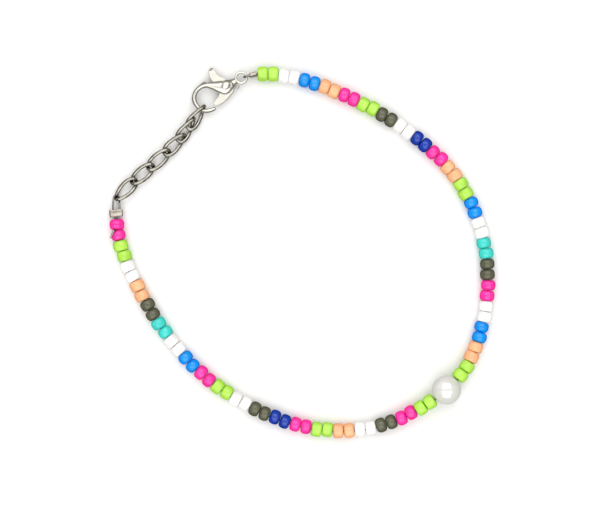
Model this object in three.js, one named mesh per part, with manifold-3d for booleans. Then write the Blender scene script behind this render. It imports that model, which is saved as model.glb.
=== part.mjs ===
// Beaded anklet: seed beads and one pearl on beading wire, closed by a lobster clasp that is
// fastened in the last of six twisted chain links. It lies flat on a surface.
// Millimetres, +Z up. The origin is under the middle of the loop, on the surface.
import * as THREE from "three";
import { mergeVertices } from "three/addons/utils/BufferGeometryUtils.js";
import Module from "manifold-3d";

const wasm = await Module();
wasm.setup();

// Beads and their wire
const beadDiameter = 3.1;
const beadLength = 2.06;
const beadSides = 10;
const beadShift = 0.12;
const beadTilt = 0.8;
const beadShiftCycle = 2.4;
const beadTiltCycle = 1.7;
const squareFace = 0.76;
const squareWall = 0.66;
const roundFace = 0.62;
const roundWall = 0.42;
const rightBeadGap = 0.15;
const leftBeadGap = 0.2;
const wireDiameter = 0.38;
const wireSides = 6;

// Pearl
const pearlDiameter = 6.0;
const pearlBore = 1.0;
const pearlGap = 0.12;
const pearlLift = 16;
const wireEndGap = 0.3;

// Crimps, and the wire loops that come out of them
const crimpLength = 1.45;
const crimpWidth = 2.8;
const crimpThickness = 0.95;
const crimpWall = 0.16;
const firstCrimpGap = 0.15;
const lastCrimpGap = 0.5;
const runningGap = 0.12;
const loopSideGap = 0.2;
const chainLoopSlack = 0.9;
const loopSteps = 26;
const strandSpread = 0.7;
const tailDiameter = 0.32;
const tailLength = 2.3;
const tailSteps = 6;

// Chain of twisted links
const linkLength = 6.4;
const linkWidth = 3.14;
const linkWire = 0.74;
const linkWireSides = 6;
const linkSteps = 20;
const linkTwist = 45;
const linkSquareness = 2.6;
const chainHeight = 1.32;

// Clasp
const claspReach = 10.7;
const claspHeight = 1.62;
const eyeOuter = 2.75;
const eyeInner = 1.75;
const eyeThickness = 0.8;
const hookWidth = 0.95;
const hookThickness = 1.3;
const hookSteps = 22;
const shellThickness = 2.2;
const cheekThickness = 3.0;
const cheekLength = 3.2;
const cheekWidth = 3.4;
const rimRound = 0.2;
const leverThickness = 0.9;
const leverSideGap = 0.16;
const pivotDiameter = 0.7;
const pivotGap = 0.18;
const thumbPadThickness = 1.7;
const thumbPadLength = 0.96;
const thumbPadWidth = 0.64;
const lugDiameter = 0.9;
const lugBore = 0.4;

// The loop as it lies on the surface, seen from above: its chosen points, clockwise from the
// eye of the clasp to the seat of its hook. The loop is sized to the pieces that lie on it.
const route = [
  { x: -12.6, y: 36.5 },
  { x: -2.6, y: 36.8 },
  { x: 9.8, y: 32.5 },
  { x: 21.8, y: 25.6 },
  { x: 32.0, y: 16.1 },
  { x: 37.65, y: 4.2 },
  { x: 38.85, y: -8.9 },
  { x: 35.8, y: -21.1 },
  { x: 29.9, y: -28.8 },
  { x: 17.4, y: -35.9 },
  { x: 4.1, y: -37.0 },
  { x: -9.1, y: -33.0 },
  { x: -20.7, y: -25.5 },
  { x: -29.5, y: -15.3 },
  { x: -35.8, y: -4.0 },
  { x: -38.3, y: 3.6 },
  { x: -38.75, y: 8.2 },
  { x: -38.5, y: 11.7 },
  { x: -35.2, y: 14.8 },
  { x: -30.0, y: 19.25 },
  { x: -24.5, y: 24.6 },
  { x: -20.9, y: 30.0 },
];

// Bead colours in pairs, in the order in which they are strung
const rightPairs =
  "lime white blue peach pink lime grey white navy pink peach lime blue white teal grey pink " +
  "white blue peach lime";
const leftPairs =
  "lime pink grey white peach lime pink navy grey white lime pink blue white teal grey peach " +
  "white lime pink";
const squareBeads = ["lime", "white", "peach"];

// How each link lies: its roll about the chain, and how far it has slipped from full stretch
const links = [
  { roll: -8, slack: 0.08 },
  { roll: 2, slack: 0.27 },
  { roll: 12, slack: 0.2 },
  { roll: 32, slack: 0.85 },
  { roll: 48, slack: 1.45 },
  { roll: 49, slack: 0 },
];

// Outlines of the clasp, as shares of its reach: along from the eye to the hook, and across
const shellOuter = [
  { along: 0.112, across: -0.045 },
  { along: 0.187, across: -0.1 },
  { along: 0.327, across: -0.207 },
  { along: 0.45, across: -0.29 },
  { along: 0.552, across: -0.356 },
  { along: 0.7, across: -0.38 },
  { along: 0.78, across: -0.374 },
];
const shellInner = [
  { along: 0.78, across: -0.296 },
  { along: 0.705, across: -0.286 },
  { along: 0.625, across: -0.23 },
  { along: 0.584, across: -0.14 },
  { along: 0.52, across: -0.03 },
  { along: 0.47, across: 0.07 },
  { along: 0.37, across: 0.107 },
  { along: 0.25, across: 0.072 },
  { along: 0.112, across: 0.04 },
];
const hookLine = [
  { along: 0.69, across: -0.334 },
  { along: 0.83, across: -0.33 },
  { along: 0.94, across: -0.27 },
  { along: 1.003, across: -0.175 },
  { along: 1.008, across: -0.04 },
  { along: 0.965, across: 0.07 },
  { along: 0.88, across: 0.128 },
  { along: 0.765, across: 0.165 },
];
const leverLine = [
  { along: 0.745, across: 0.07 },
  { along: 0.7, across: 0.15 },
  { along: 0.56, across: 0.168 },
  { along: 0.39, across: 0.15 },
  { along: 0.265, across: 0.1 },
  { along: 0.23, across: -0.04 },
  { along: 0.265, across: -0.18 },
  { along: 0.328, across: -0.3 },
  { along: 0.325, across: -0.44 },
  { along: 0.345, across: -0.487 },
  { along: 0.4, across: -0.5 },
  { along: 0.46, across: -0.43 },
  { along: 0.49, across: -0.33 },
  { along: 0.5, across: -0.16 },
  { along: 0.535, across: -0.005 },
];
const pivot = { along: 0.365, across: -0.04 };
const cheek = { along: 0.365, across: -0.045 };
const lug = { along: 0.16, across: 0.085 };
const thumbPad = { along: 0.372, across: -0.48 };
const slotStart = 0.17;
const slotEnd = 0.6;

const silver = { roughness: 0.25, metalness: 1 };
const up = new THREE.Vector3(0, 0, 1);

// A closed geometry as a solid that can be joined and cut.
function solid(geometry) {
  const bare = geometry.clone();
  bare.deleteAttribute("normal");
  bare.deleteAttribute("uv");
  const merged = mergeVertices(bare, 1e-4);
  const mesh = new wasm.Mesh({
    numProp: 3,
    vertProperties: merged.attributes.position.array,
    triVerts: new Uint32Array(merged.index.array),
  });
  return new wasm.Manifold(mesh);
}

function joined(geometries) {
  return geometries.map(solid).reduce((whole, piece) => whole.add(piece));
}

// A named mesh of a geometry or a joined solid.
function piece(name, shape, colour, finish) {
  let geometry = shape;
  if (!shape.isBufferGeometry) {
    const mesh = shape.getMesh();
    geometry = new THREE.BufferGeometry();
    geometry.setAttribute("position", new THREE.BufferAttribute(mesh.vertProperties, 3));
    geometry.setIndex(new THREE.BufferAttribute(mesh.triVerts, 1));
    geometry.computeVertexNormals();
  }
  const made = new THREE.Mesh(geometry, new THREE.MeshStandardMaterial({ color: colour, ...finish }));
  made.name = name;
  return made;
}

// A closed outline with `sides` corners, `across` wide in x and `tall` in y.
function ovalOutline(across, tall, sides) {
  const shape = new THREE.Shape();
  for (let i = 0; i < sides; i++) {
    const angle = (2 * Math.PI * i) / sides;
    const x = (across / 2) * Math.cos(angle);
    const y = (tall / 2) * Math.sin(angle);
    if (i === 0) shape.moveTo(x, y);
    else shape.lineTo(x, y);
  }
  shape.closePath();
  return shape;
}

function tube(points, diameter, steps, sides = wireSides) {
  const extrudePath = new THREE.CatmullRomCurve3(points);
  const outline = ovalOutline(diameter, diameter, sides);
  return new THREE.ExtrudeGeometry(outline, { extrudePath, steps, curveSegments: 1 });
}

// Where each piece lies, as lengths along the loop from the middle of the clasp's eye
const eyeToCrimp = eyeOuter / 2 + wireDiameter + runningGap;
const rightPitch = beadLength + rightBeadGap;
const leftPitch = beadLength + leftBeadGap;
const rightColours = rightPairs.split(" ").flatMap((colour) => [colour, colour]);
const leftColours = leftPairs.split(" ").flatMap((colour) => [colour, colour]);
const firstCrimp = eyeToCrimp + crimpLength / 2;
const rightStart = firstCrimp + crimpLength / 2 + firstCrimpGap;
const rightEnd = rightStart + rightColours.length * rightPitch;
const pearlAt = rightEnd + pearlGap + pearlDiameter / 2;
const leftStart = pearlAt + pearlDiameter / 2 + pearlGap;
const leftEnd = leftStart + leftColours.length * leftPitch;
const lastCrimp = leftEnd + lastCrimpGap + crimpLength / 2;
const linkReach = linkLength - linkWire;
const loopClear = linkWire / 2 + runningGap + wireDiameter / 2;
const loopReach = crimpLength / 2 + loopClear + linkWire + chainLoopSlack;
const linkStarts = [lastCrimp + loopReach];
for (const { slack } of links.slice(0, -1)) {
  linkStarts.push(linkStarts.at(-1) + linkReach - linkWire - runningGap - slack);
}
const chainEnd = linkStarts.at(-1) + linkReach;
const claspSpan = claspReach - hookWidth / 2 - runningGap - linkWire / 2;

// The loop's curve, scaled until the clasp just reaches from the chain to its own eye
const chosen = route.map(({ x, y }) => new THREE.Vector3(x, y, 0));
const curve = new THREE.CatmullRomCurve3(chosen, true, "catmullrom", 0.5);
curve.arcLengthDivisions = 1200;
const curveLength = curve.getLength();

function spanLeft(scale) {
  const share = chainEnd / (curveLength * scale);
  if (share >= 1) return -1;
  return curve.getPointAt(share).distanceTo(curve.getPointAt(0)) * scale;
}

let lowScale = chainEnd / curveLength;
let highScale = lowScale * 1.3;
for (let i = 0; i < 60; i++) {
  const middle = (lowScale + highScale) / 2;
  if (spanLeft(middle) < claspSpan) lowScale = middle;
  else highScale = middle;
}
const routeScale = highScale;
const routeLength = curveLength * routeScale;

// A smooth rise or fall from one height to another while `length` goes from `start` to `end`.
function slope(length, start, end, low, high) {
  return low + (high - low) * THREE.MathUtils.smoothstep(length, start, end);
}

// Height of the line that the pieces are strung on: it climbs to the middle of the pearl.
function lineHeight(length) {
  const bead = beadDiameter / 2;
  const firstLink = linkStarts[0];
  const fromPearl = Math.abs(length - pearlAt);
  if (fromPearl < pearlLift) return slope(fromPearl, 0, pearlLift, pearlDiameter / 2, bead);
  if (length < rightStart) return slope(length, 0, rightStart, claspHeight, bead);
  if (length < firstLink) return slope(length, leftEnd, firstLink, bead, chainHeight);
  return slope(length, firstLink, chainEnd, chainHeight, claspHeight);
}

function along(length) {
  const share = THREE.MathUtils.euclideanModulo(length / routeLength, 1);
  const spot = curve.getPointAt(share).multiplyScalar(routeScale);
  spot.z = lineHeight(length);
  return spot;
}

// A frame between two lengths on the loop: x points along it, z upwards, turned by `roll`.
function frameBetween(from, to, roll = 0) {
  const start = along(from);
  const end = along(to);
  const forward = end.clone().sub(start).normalize();
  const side = up.clone().cross(forward).normalize();
  const top = forward.clone().cross(side);
  const turn = new THREE.Matrix4().makeBasis(forward, side, top);
  turn.multiply(new THREE.Matrix4().makeRotationX(THREE.MathUtils.degToRad(roll)));
  return turn.setPosition(start.add(end).multiplyScalar(0.5));
}

// The outline of one seed bead about its axis, from one face to the other: square beads have
// a longer wall and sharper shoulders. Columns are the radius and the place along the string.
function beadProfile(colour, middle) {
  const square = squareBeads.includes(colour);
  const radius = beadDiameter / 2;
  const half = beadLength / 2;
  const faceRadius = radius * (square ? squareFace : roundFace);
  const wallHalf = half * (square ? squareWall : roundWall);
  return [
    new THREE.Vector2(faceRadius, middle - half),
    new THREE.Vector2(radius, middle - wallHalf),
    new THREE.Vector2(radius, middle + wallHalf),
    new THREE.Vector2(faceRadius, middle + half),
  ];
}

// One string: the wire with its beads, turned as a straight piece and then bent onto the
// loop. Each bead is shifted and tilted a little, as loosely strung beads lie. The wire goes
// on into the pearl, to `pearlEnd`, from the end of the string that lies there.
function beadedWire(colours, start, pitch, pearlEnd) {
  const wire = wireDiameter / 2;
  const end = start + colours.length * pitch;
  const profile = colours.flatMap((colour, index) => [
    new THREE.Vector2(wire, start + index * pitch),
    ...beadProfile(colour, start + (index + 0.5) * pitch),
  ]);
  if (pearlEnd < start) {
    profile.unshift(new THREE.Vector2(0, pearlEnd), new THREE.Vector2(wire, pearlEnd));
    profile.push(new THREE.Vector2(0, end));
  } else {
    profile[0].x = 0;
    profile.push(new THREE.Vector2(wire, end));
    profile.push(new THREE.Vector2(wire, pearlEnd), new THREE.Vector2(0, pearlEnd));
  }
  const turned = new THREE.LatheGeometry(profile, beadSides);
  const spots = turned.attributes.position;
  for (let i = 0; i < spots.count; i++) {
    const spot = new THREE.Vector3().fromBufferAttribute(spots, i);
    const onBead = Math.hypot(spot.x, spot.z) > wireDiameter;
    const index = Math.floor((spot.y - start) / pitch);
    const swing = beadTilt * Math.sin(index * beadTiltCycle);
    const shift = onBead ? beadShift * Math.sin(index * beadShiftCycle) : 0;
    const tilt = onBead ? THREE.MathUtils.degToRad(swing) : 0;
    const place = frameBetween(spot.y - pitch / 2, spot.y + pitch / 2).setPosition(along(spot.y));
    const bent = new THREE.Vector3(Math.tan(tilt) * spot.x, shift - spot.x, spot.z);
    bent.applyMatrix4(place);
    spots.setXYZ(i, bent.x, bent.y, bent.z);
  }
  return turned;
}

// The frame of a crimp: its origin is the crimp's middle, and x points to what its loop holds.
function crimpFrame(crimpAt, heldAt, roll = 0) {
  return frameBetween(crimpAt, heldAt, roll).setPosition(along(crimpAt));
}

// The wire's loop at one end of a string. Both strands come out of the end bead, whose frame
// is `bead`, go through the crimp at `place`, then part to `halfWidth` and bend round what
// the loop holds, `reach` from the crimp.
function wireLoop(place, bead, reach, halfWidth, crimpRoll, loopRoll) {
  const strand = (x, width, roll) => {
    const angle = THREE.MathUtils.degToRad(roll);
    return new THREE.Vector3(x, width * Math.cos(angle), width * Math.sin(angle));
  };
  const bend = reach - halfWidth;
  const spread = crimpWidth / 2 - crimpWall - wireDiameter / 2 - runningGap;
  const inCrimp = Math.min(halfWidth, spread);
  const inBead = wireDiameter * strandSpread;
  const fromBead = place.clone().invert().multiply(bead);
  const beadStrand = (side) => strand(0, side * inBead, crimpRoll).applyMatrix4(fromBead);
  const half = [
    strand(-crimpLength / 2, inBead, crimpRoll),
    strand(crimpLength / 3, inCrimp, crimpRoll),
    strand(Math.max(bend, crimpLength / 2), halfWidth, loopRoll),
    strand(bend + halfWidth * Math.SQRT1_2, halfWidth * Math.SQRT1_2, loopRoll),
  ];
  const back = half.map((point) => new THREE.Vector3(point.x, -point.y, -point.z)).reverse();
  const points = [beadStrand(1), ...half, strand(reach, 0, loopRoll), ...back, beadStrand(-1)];
  return tube(points, wireDiameter, loopSteps).applyMatrix4(place);
}

// The cut end of the wire, poking out between the last two beads and lying back over one.
function wireTail() {
  const joint = leftEnd - leftPitch;
  const place = frameBetween(joint - beadLength / 2, joint + beadLength / 2);
  const points = [
    new THREE.Vector3(0, 0, 0),
    new THREE.Vector3(0, tailLength * 0.17, beadDiameter * 0.42),
    new THREE.Vector3(-tailLength * 0.23, tailLength * 0.4, beadDiameter * 0.5),
    new THREE.Vector3(-tailLength * 0.65, tailLength * 0.65, beadDiameter * 0.42),
  ];
  return tube(points, tailDiameter, tailSteps).applyMatrix4(place);
}

function crimp(name, place) {
  const outline = ovalOutline(crimpWidth, crimpThickness, 12);
  const boreWidth = crimpWidth - 2 * crimpWall;
  const boreHeight = crimpThickness - 2 * crimpWall;
  outline.holes.push(ovalOutline(boreWidth, boreHeight, 12));
  const sleeve = new THREE.ExtrudeGeometry(outline, { depth: crimpLength, bevelEnabled: false });
  sleeve.translate(0, 0, -crimpLength / 2).rotateZ(Math.PI / 2).rotateY(Math.PI / 2);
  return piece(name, sleeve.applyMatrix4(place), "#8d8a80", silver);
}

// A pearl drilled along the string.
function pearl() {
  const ball = new THREE.SphereGeometry(pearlDiameter / 2, 16, 12);
  const drill = new THREE.CylinderGeometry(pearlBore / 2, pearlBore / 2, 1.5 * pearlDiameter, 12);
  const place = frameBetween(pearlAt - pearlDiameter / 2, pearlAt + pearlDiameter / 2);
  const bored = solid(ball).subtract(solid(drill.rotateZ(Math.PI / 2)));
  const mesh = piece("pearl_bead", bored, "#cfcbc4", { roughness: 0.2, metalness: 0 });
  mesh.applyMatrix4(place);
  return mesh;
}

// One link: a ring of wire, stretched to an oval and twisted about its length.
function link(name, start, roll) {
  const halfLong = linkReach / 2;
  const halfWide = (linkWidth - linkWire) / 2;
  const ring = new THREE.TorusGeometry(1, linkWire / 2, linkWireSides, linkSteps);
  const spots = ring.attributes.position;
  const power = 2 / linkSquareness;
  const oval = (angle) => {
    const bend = (value) => Math.sign(value) * Math.abs(value) ** power;
    return new THREE.Vector2(halfLong * bend(Math.cos(angle)), halfWide * bend(Math.sin(angle)));
  };
  for (let i = 0; i < spots.count; i++) {
    const spot = new THREE.Vector3().fromBufferAttribute(spots, i);
    const angle = Math.atan2(spot.y, spot.x);
    const out = Math.hypot(spot.x, spot.y) - 1;
    const middle = oval(angle);
    const ahead = oval(angle + 0.02).sub(oval(angle - 0.02)).normalize();
    const flat = new THREE.Vector3(middle.x + ahead.y * out, middle.y - ahead.x * out, spot.z);
    const twist = (THREE.MathUtils.degToRad(linkTwist) * flat.x) / halfLong;
    flat.applyAxisAngle(new THREE.Vector3(1, 0, 0), twist);
    spots.setXYZ(i, flat.x, flat.y, flat.z);
  }
  const mesh = piece(name, ring, "#9a978c", silver);
  mesh.applyMatrix4(frameBetween(start, start + linkReach, roll));
  return mesh;
}

// The clasp's own frame: origin at its eye, x towards the hook, z up.
function claspPoint({ along: far, across }) {
  return new THREE.Vector2(far * claspReach, across * claspReach);
}

function claspFrame() {
  const eye = along(0);
  eye.z = claspHeight;
  const seat = along(chainEnd);
  seat.z = claspHeight;
  const forward = seat.sub(eye).normalize();
  const side = up.clone().cross(forward);
  return new THREE.Matrix4().makeBasis(forward, side, up).setPosition(eye);
}

// A flat outline made thick, centred on the clasp's middle plane, with rounded rims.
function plate(outline, thickness, round, curveSegments = 8) {
  const made = new THREE.ExtrudeGeometry(outline, {
    depth: thickness - 2 * round,
    bevelThickness: round,
    bevelSize: round,
    bevelOffset: -round,
    bevelSegments: 2,
    curveSegments,
  });
  return made.translate(0, 0, round - thickness / 2);
}

function disc(radius, thickness, spot, sides = 16) {
  const made = new THREE.CylinderGeometry(radius, radius, thickness, sides);
  const { x, y } = claspPoint(spot);
  return made.rotateX(Math.PI / 2).translate(x, y, 0);
}

function eyeRing() {
  const half = eyeThickness / 2;
  const rim = [
    new THREE.Vector2(eyeInner / 2, -half * 0.4),
    new THREE.Vector2((eyeInner + eyeOuter) / 4, -half),
    new THREE.Vector2(eyeOuter / 2, -half * 0.4),
    new THREE.Vector2(eyeOuter / 2, half * 0.4),
    new THREE.Vector2((eyeInner + eyeOuter) / 4, half),
    new THREE.Vector2(eyeInner / 2, half * 0.4),
    new THREE.Vector2(eyeInner / 2, -half * 0.4),
  ];
  return new THREE.LatheGeometry(rim, 20).rotateX(Math.PI / 2);
}

function hook() {
  const points = hookLine.map(claspPoint).map(({ x, y }) => new THREE.Vector3(x, y, 0));
  const extrudePath = new THREE.CatmullRomCurve3(points);
  const outline = ovalOutline(hookThickness, hookWidth, 10);
  return new THREE.ExtrudeGeometry(outline, { extrudePath, steps: hookSteps });
}

function claspBody() {
  const shell = new THREE.Shape();
  const outer = shellOuter.map(claspPoint);
  shell.moveTo(outer[0].x, outer[0].y);
  shell.splineThru(outer.slice(1));
  const inner = shellInner.map(claspPoint);
  shell.lineTo(inner[0].x, inner[0].y);
  shell.splineThru(inner.slice(1));
  shell.closePath();
  const housing = new THREE.SphereGeometry(1, 16, 12);
  const middle = claspPoint(cheek);
  housing.scale(cheekLength / 2, cheekWidth / 2, cheekThickness / 2);
  housing.translate(middle.x, middle.y, 0);
  const slotLength = (slotEnd - slotStart) * claspReach;
  const slotThickness = leverThickness + 2 * leverSideGap;
  const slot = new THREE.BoxGeometry(slotLength, 2 * claspReach, slotThickness);
  slot.translate(slotStart * claspReach + slotLength / 2, 0, 0);
  const tailLug = solid(disc(lugDiameter / 2, eyeThickness, lug, 12));
  return joined([plate(shell, shellThickness, rimRound, 2), housing])
    .subtract(solid(slot))
    .add(solid(disc(pivotDiameter / 2, cheekThickness * 0.9, pivot, 12)))
    .add(solid(hook()))
    .add(solid(eyeRing()))
    .subtract(solid(disc(eyeInner / 2, cheekThickness, { along: 0, across: 0 }, 20)))
    .add(tailLug)
    .subtract(solid(disc(lugBore / 2, cheekThickness, lug, 8)));
}

// The lever is one casting: the gate that closes the hook, the hub and the thumb tab.
function claspLever() {
  const outline = new THREE.Shape();
  const points = leverLine.map(claspPoint);
  outline.moveTo(points[0].x, points[0].y);
  outline.lineTo(points[1].x, points[1].y);
  outline.splineThru(points.slice(2));
  outline.closePath();
  const pad = new THREE.SphereGeometry(1, 12, 8);
  const spot = claspPoint(thumbPad);
  pad.scale(thumbPadLength / 2, thumbPadWidth / 2, thumbPadThickness / 2);
  pad.translate(spot.x, spot.y, 0);
  const bore = disc(pivotDiameter / 2 + pivotGap, 2 * leverThickness, pivot, 12);
  return joined([plate(outline, leverThickness, rimRound / 2, 2), pad]).subtract(solid(bore));
}

const eyeLoop = firstCrimp - eyeInner / 2 + wireDiameter / 2 + runningGap;
const linkRollStart = links[0].roll - linkTwist;
const linkLoopHalf = linkWire / 2 + loopSideGap + wireDiameter / 2;
const eyeLoopHalf = eyeThickness / 2 + loopSideGap + wireDiameter / 2;
const firstBead = frameBetween(rightStart, rightStart + rightPitch);
const eyeCrimpFrame = crimpFrame(firstCrimp, 0);
const lastBead = frameBetween(leftEnd - leftPitch, leftEnd);
const lastCrimpFrame = crimpFrame(lastCrimp, linkStarts[0]);
const lastLoop = loopReach + loopClear;

const rightString = joined([
  beadedWire(rightColours, rightStart, rightPitch, pearlAt - wireEndGap / 2),
  wireLoop(eyeCrimpFrame, firstBead, eyeLoop, eyeLoopHalf, 90, 90),
]);
const leftString = joined([
  beadedWire(leftColours, leftStart, leftPitch, pearlAt + wireEndGap / 2),
  wireLoop(lastCrimpFrame, lastBead, lastLoop, linkLoopHalf, 0, linkRollStart + 90),
  wireTail(),
]);

const glass = { roughness: 0.15, metalness: 0 };
const clasp = new THREE.Group();
clasp.applyMatrix4(claspFrame());
clasp.add(
  piece("clasp_body", claspBody(), "#c9c7bc", silver),
  piece("clasp_lever", claspLever(), "#d6d4cb", silver),
);

const anklet = new THREE.Group();
anklet.add(
  piece("bead_string_right", rightString, "#f24f98", glass),
  piece("bead_string_left", leftString, "#b7e375", glass),
  pearl(),
  crimp("crimp_clasp_end", crimpFrame(firstCrimp, 0, 90)),
  crimp("crimp_chain_end", lastCrimpFrame),
  ...links.map(({ roll }, index) => link(`chain_link_${index + 1}`, linkStarts[index], roll)),
  clasp,
);

// The origin goes under the middle of the anklet's box.
const box = new THREE.Box3().setFromObject(anklet, true);
const middle = box.getCenter(new THREE.Vector3());
anklet.position.set(-middle.x, -middle.y, -box.min.z);
anklet.updateMatrixWorld(true);

export default anklet;
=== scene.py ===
"""Beaded anklet: glass seed beads and one pearl on beading wire, a lobster clasp and a twisted
chain, lying flat on a pale surface and seen from straight above. Lengths are in millimetres
where they are chosen, and MM turns them into metres."""

import math

import bmesh
import bpy
from mathutils import Matrix, Vector


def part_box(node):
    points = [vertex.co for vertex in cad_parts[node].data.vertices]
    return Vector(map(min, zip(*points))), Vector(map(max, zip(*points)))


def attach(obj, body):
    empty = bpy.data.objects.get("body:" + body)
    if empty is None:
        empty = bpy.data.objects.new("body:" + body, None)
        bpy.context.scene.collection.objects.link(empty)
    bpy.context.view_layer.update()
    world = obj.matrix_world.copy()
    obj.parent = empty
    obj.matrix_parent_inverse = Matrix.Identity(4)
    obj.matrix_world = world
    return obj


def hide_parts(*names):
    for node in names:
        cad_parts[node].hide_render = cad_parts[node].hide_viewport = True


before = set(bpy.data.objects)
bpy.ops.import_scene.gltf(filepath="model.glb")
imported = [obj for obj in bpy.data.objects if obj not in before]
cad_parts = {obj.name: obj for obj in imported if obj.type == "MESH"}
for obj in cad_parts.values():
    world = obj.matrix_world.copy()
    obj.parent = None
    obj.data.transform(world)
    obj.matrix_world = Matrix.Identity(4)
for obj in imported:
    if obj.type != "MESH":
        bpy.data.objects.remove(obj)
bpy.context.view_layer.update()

# Camera
# A long lens straight above the loop, which stands a little right of and above the middle
# of the picture. The picture shows 4.8 pixels to the millimetre.
MM = 0.001
PICTURE_WIDTH_PX = 600
PIXELS_PER_MM = 4.8
LENS = 100
SENSOR = 36
LOOP_RIGHT_PX = 2.92
LOOP_UP_PX = 2.23
BEAD_HEIGHT = 1.55

camera_data = bpy.data.cameras.new("camera")
camera_data.lens = LENS
camera_data.sensor_width = SENSOR
camera = bpy.data.objects.new("camera", camera_data)
bpy.context.collection.objects.link(camera)
picture_width = PICTURE_WIDTH_PX / PIXELS_PER_MM
camera.location = (
    -LOOP_RIGHT_PX / PIXELS_PER_MM * MM,
    -LOOP_UP_PX / PIXELS_PER_MM * MM,
    (BEAD_HEIGHT + picture_width * LENS / SENSOR) * MM,
)
bpy.context.scene.camera = camera

# The line of the string
# The beading wire is flexible, so the anklet lies in a loose loop. Its chosen points and the
# lengths of its pieces are those of the solids, and each piece takes its place from them.
ROUTE = [
    (-12.6, 36.5),
    (-2.6, 36.8),
    (9.8, 32.5),
    (21.8, 25.6),
    (32.0, 16.1),
    (37.65, 4.2),
    (38.85, -8.9),
    (35.8, -21.1),
    (29.9, -28.8),
    (17.4, -35.9),
    (4.1, -37.0),
    (-9.1, -33.0),
    (-20.7, -25.5),
    (-29.5, -15.3),
    (-35.8, -4.0),
    (-38.3, 3.6),
    (-38.75, 8.2),
    (-38.5, 11.7),
    (-35.2, 14.8),
    (-30.0, 19.25),
    (-24.5, 24.6),
    (-20.9, 30.0),
]
RIGHT_PAIRS = (
    "lime white blue peach pink lime grey white navy pink peach lime blue white teal grey "
    "pink white blue peach lime"
).split()
LEFT_PAIRS = (
    "lime pink grey white peach lime pink navy grey white lime pink blue white teal grey "
    "peach white lime pink"
).split()
RIGHT_PITCH = 2.21
LEFT_PITCH = 2.26
EYE_TO_CRIMP = 1.875
CRIMP_LENGTH = 1.45
FIRST_CRIMP_GAP = 0.15
LAST_CRIMP_GAP = 0.5
PEARL_DIAMETER = 6.0
PEARL_GAP = 0.12
PEARL_LIFT = 16
RUNNING_GAP = 0.12
LINK_LENGTH = 6.4
LINK_WIRE = 0.74
WIRE_DIAMETER = 0.38
LINK_SLACKS = [0.08, 0.27, 0.2, 0.85, 1.45, 0]
CHAIN_LOOP_SLACK = 0.9
CHAIN_HEIGHT = 1.32
CLASP_REACH = 10.7
CLASP_HEIGHT = 1.62
HOOK_WIDTH = 0.95
ROUTE_STEPS = 1200
LARGEST_SCALE_STEP = 1.3
SCALE_ROUNDS = 60

first_crimp = EYE_TO_CRIMP + CRIMP_LENGTH / 2
right_start = first_crimp + CRIMP_LENGTH / 2 + FIRST_CRIMP_GAP
right_end = right_start + 2 * len(RIGHT_PAIRS) * RIGHT_PITCH
pearl_at = right_end + PEARL_GAP + PEARL_DIAMETER / 2
left_start = pearl_at + PEARL_DIAMETER / 2 + PEARL_GAP
left_end = left_start + 2 * len(LEFT_PAIRS) * LEFT_PITCH
last_crimp = left_end + LAST_CRIMP_GAP + CRIMP_LENGTH / 2
link_reach = LINK_LENGTH - LINK_WIRE
loop_clear = LINK_WIRE / 2 + RUNNING_GAP + WIRE_DIAMETER / 2
loop_reach = CRIMP_LENGTH / 2 + loop_clear + LINK_WIRE + CHAIN_LOOP_SLACK
link_starts = [last_crimp + loop_reach]
for slack in LINK_SLACKS[:-1]:
    link_starts.append(link_starts[-1] + link_reach - LINK_WIRE - RUNNING_GAP - slack)
chain_end = link_starts[-1] + link_reach
clasp_span = CLASP_REACH - HOOK_WIDTH / 2 - RUNNING_GAP - LINK_WIRE / 2


def smooth_point(chosen, share, closed=False):
    """A point at a share of the smooth line through chosen points, which may be closed."""
    count = len(chosen)
    spot = share * (count if closed else count - 1)
    index = int(spot) if closed else min(int(spot), count - 2)
    t = spot - index
    steps = [index + step for step in (-1, 0, 1, 2)]
    if closed:
        near = [Vector(chosen[step % count]) for step in steps]
    else:
        near = [Vector(chosen[min(max(step, 0), count - 1)]) for step in steps]
    leave = (near[2] - near[0]) / 2
    arrive = (near[3] - near[1]) / 2
    return (
        near[1]
        + leave * t
        + (3 * (near[2] - near[1]) - 2 * leave - arrive) * t**2
        + (2 * (near[1] - near[2]) + leave + arrive) * t**3
    )


def smooth_line(chosen, steps, closed=False):
    """Evenly spread points on the smooth line through chosen points."""
    shares = range(steps if closed else steps + 1)
    return [smooth_point(chosen, step / steps, closed) for step in shares]


route_spots = [smooth_point(ROUTE, step / ROUTE_STEPS, True) for step in range(ROUTE_STEPS + 1)]
route_lengths = [0]
for near, far in zip(route_spots, route_spots[1:]):
    route_lengths.append(route_lengths[-1] + (far - near).length)


def route_at(length):
    """The point that lies a length along the unscaled line."""
    low, high = 0, ROUTE_STEPS
    while high - low > 1:
        middle = (low + high) // 2
        if route_lengths[middle] <= length:
            low = middle
        else:
            high = middle
    piece = (length - route_lengths[low]) / (route_lengths[high] - route_lengths[low])
    return smooth_point(ROUTE, (low + piece) / ROUTE_STEPS, True)


# The loop is scaled until the clasp just reaches from the chain to its own eye.
low_scale = chain_end / route_lengths[-1]
high_scale = low_scale * LARGEST_SCALE_STEP
for _ in range(SCALE_ROUNDS):
    route_scale = (low_scale + high_scale) / 2
    span = (route_at(chain_end / route_scale) - route_at(0)).length * route_scale
    if span < clasp_span:
        low_scale = route_scale
    else:
        high_scale = route_scale


def ease(share):
    """A smooth step from 0 to 1."""
    share = min(max(share, 0), 1)
    return share * share * (3 - 2 * share)


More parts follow.
